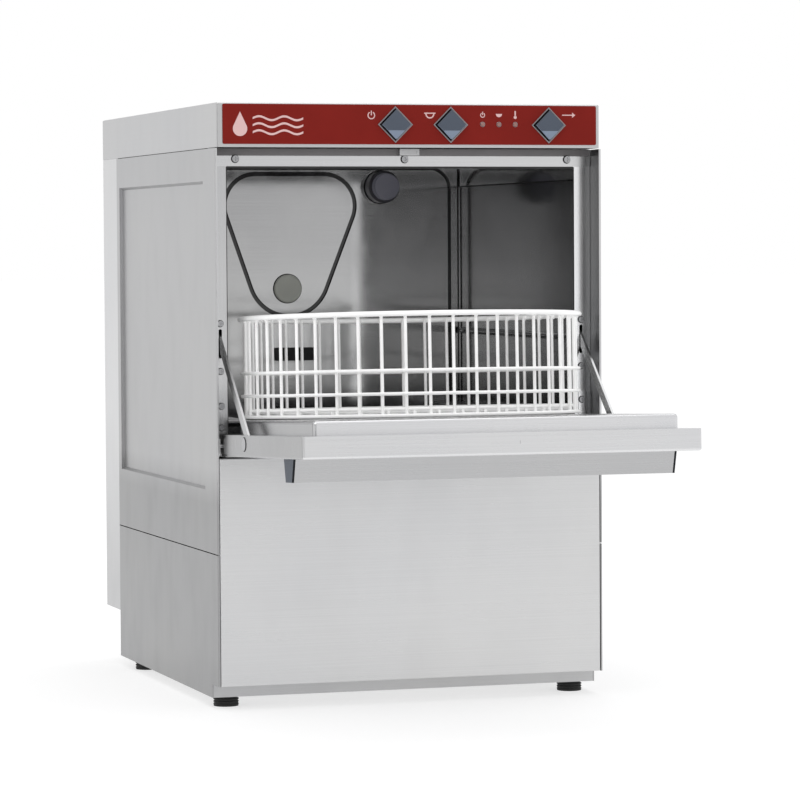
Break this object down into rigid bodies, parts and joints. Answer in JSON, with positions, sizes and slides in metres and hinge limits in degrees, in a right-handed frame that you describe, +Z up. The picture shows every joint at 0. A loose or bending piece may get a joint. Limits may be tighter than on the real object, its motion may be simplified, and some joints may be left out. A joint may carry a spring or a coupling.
{
  "type": "commercial dishwasher",
  "caption": "Under-counter front-loading commercial glass and dish washer with a drop-down door, round wire rack, tank, wash and rinse arms and diamond push-buttons.",
  "frame": {"origin": "middle of the underside of the bounding box with the door open, on the floor plane", "axes": "+Y from the open door towards the back of the cabinet, +X to the right seen from the front, +Z up"},
  "size_m": [0.47, 0.9081, 0.697],
  "materials": {
    "steel_satin": "satin brushed",
    "steel_panel": "fine brushed",
    "steel_bright": "bright",
    "steel_tank": "fine matt",
    "galvanised": "dull",
    "label_red": "satin",
    "mark_pale": "satin",
    "button_blue": "satin",
    "bezel_grey": "satin",
    "lamp": "clear",
    "plastic_black": "matt",
    "plastic_grey": "matt",
    "plastic_dark_blue": "satin",
    "plastic_blue_grey": "satin",
    "wire_white": "dip coated",
    "rubber_black": "matt",
    "rubber_grey": "matt",
    "rubber_feet": "matt",
    "motor_cast": "cast",
    "brass_fitting": "machined"
  },
  "bodies": {
    "cabinet": {"base_chassis": "galvanised", "feet": "rubber_feet", "lower_side_panel_right": "steel_panel", "lower_side_panel_left": "steel_panel", "upper_side_panel_right": "steel_panel", "upper_side_panel_left": "steel_panel", "front_panel": "steel_satin", "rear_panel": "galvanised", "rear_cover": "steel_panel", "hood": "steel_panel", "control_label": "label_red", "label_marks": "mark_pale", "button_frames": "bezel_grey", "switch_block": "plastic_black", "pilot_lights": "lamp", "front_frame": "steel_satin", "top_rail": "steel_bright", "mouth_seal": "rubber_grey", "frame_screws": "steel_bright", "door_catch": "steel_bright", "hinge_brackets": "steel_bright", "tank_side_right": "steel_tank", "tank_side_left": "steel_tank", "tank_back": "steel_tank", "tank_ceiling": "steel_tank", "tank_floor": "steel_tank", "wall_plug": "plastic_grey", "wall_cap": "plastic_dark_blue", "level_sensor": "plastic_black", "rack_rails": "steel_satin", "filter_plates": "steel_satin", "suction_filter": "steel_satin", "arm_hub": "plastic_grey", "hub_cap": "plastic_blue_grey", "tank_heater": "steel_bright", "boiler": "steel_satin", "wash_pump_motor": "motor_cast", "wash_pump_volute": "plastic_black", "hoses": "rubber_black", "inlet_valve": "brass_fitting", "drain_outlet": "plastic_grey", "cable_gland": "plastic_black"},
    "door": {"door_outer": "steel_satin", "door_liner": "steel_satin", "handle_profile": "steel_satin", "handle_caps": "plastic_blue_grey", "door_pins": "steel_bright"},
    "stay_bar_left": {"stay_left": "steel_satin"},
    "stay_bar_right": {"stay_right": "steel_satin"},
    "rack_carrier": {"rack_bar": "wire_white"},
    "rack": {"rack_rim": "wire_white", "rack_rings": "wire_white", "rack_uprights": "wire_white", "rack_floor": "wire_white"},
    "power_button": {"button_power": "button_blue"},
    "program_button": {"button_program": "button_blue"},
    "start_button": {"button_start": "button_blue"},
    "washing_arm": {"wash_arm": "steel_satin"},
    "rinsing_arm": {"rinse_arm": "steel_bright"},
    "overflow": {"overflow_pipe": "plastic_grey"}
  },
  "joints": [
    {"name": "door_hinge", "type": "hinge", "parent": "cabinet", "child": "door", "pos_m": [0, -0.11595, 0.3039], "axis": [-1, 0, 0], "range_deg": [0, 87.61]},
    {"name": "stay_hinge_left", "type": "hinge", "parent": "door", "child": "stay_bar_left", "pos_m": [-0.22125, -0.21774, 0.31115], "axis": [-1, 0, 0], "range_deg": [-60.4, 0]},
    {"name": "stay_hinge_right", "type": "hinge", "parent": "door", "child": "stay_bar_right", "pos_m": [0.22125, -0.21774, 0.31115], "axis": [-1, 0, 0], "range_deg": [-60.4, 0]},
    {"name": "rack_arc", "type": "hinge", "parent": "cabinet", "child": "rack_carrier", "pos_m": [0, 0.00245, 0.33495], "axis": [-1, 0, 0], "range_deg": [0, 180]},
    {"name": "rack_level", "type": "hinge", "parent": "rack_carrier", "child": "rack", "pos_m": [0, -0.12115, 0.3366], "axis": [-1, 0, 0], "range_deg": [-182.39, 0]},
    {"name": "power_button_press", "type": "slide", "parent": "cabinet", "child": "power_button", "axis": [0, 1, 0], "range_m": [0, 0.003]},
    {"name": "program_button_press", "type": "slide", "parent": "cabinet", "child": "program_button", "axis": [0, 1, 0], "range_m": [0, 0.003]},
    {"name": "start_button_press", "type": "slide", "parent": "cabinet", "child": "start_button", "axis": [0, 1, 0], "range_m": [0, 0.003]},
    {"name": "wash_arm_spin", "type": "hinge", "parent": "cabinet", "child": "washing_arm", "pos_m": [0, 0.12505, 0.287], "axis": [0, 0, 1], "range_deg": [-180, 180]},
    {"name": "rinse_arm_spin", "type": "hinge", "parent": "cabinet", "child": "rinsing_arm", "pos_m": [0, 0.12505, 0.312], "axis": [0, 0, 1], "range_deg": [-180, 180]},
    {"name": "overflow_lift", "type": "slide", "parent": "cabinet", "child": "overflow", "axis": [0, 0, 1], "range_m": [0, 0.055]}
  ],
  "couplings": [
    {"joint": "stay_hinge_left", "follows": "door_hinge", "ratio": -0.68942},
    {"joint": "stay_hinge_right", "follows": "door_hinge", "ratio": -0.68942},
    {"joint": "rack_arc", "follows": "door_hinge", "ratio": 2.0546},
    {"joint": "rack_level", "follows": "door_hinge", "ratio": -2.0818}
  ]
}
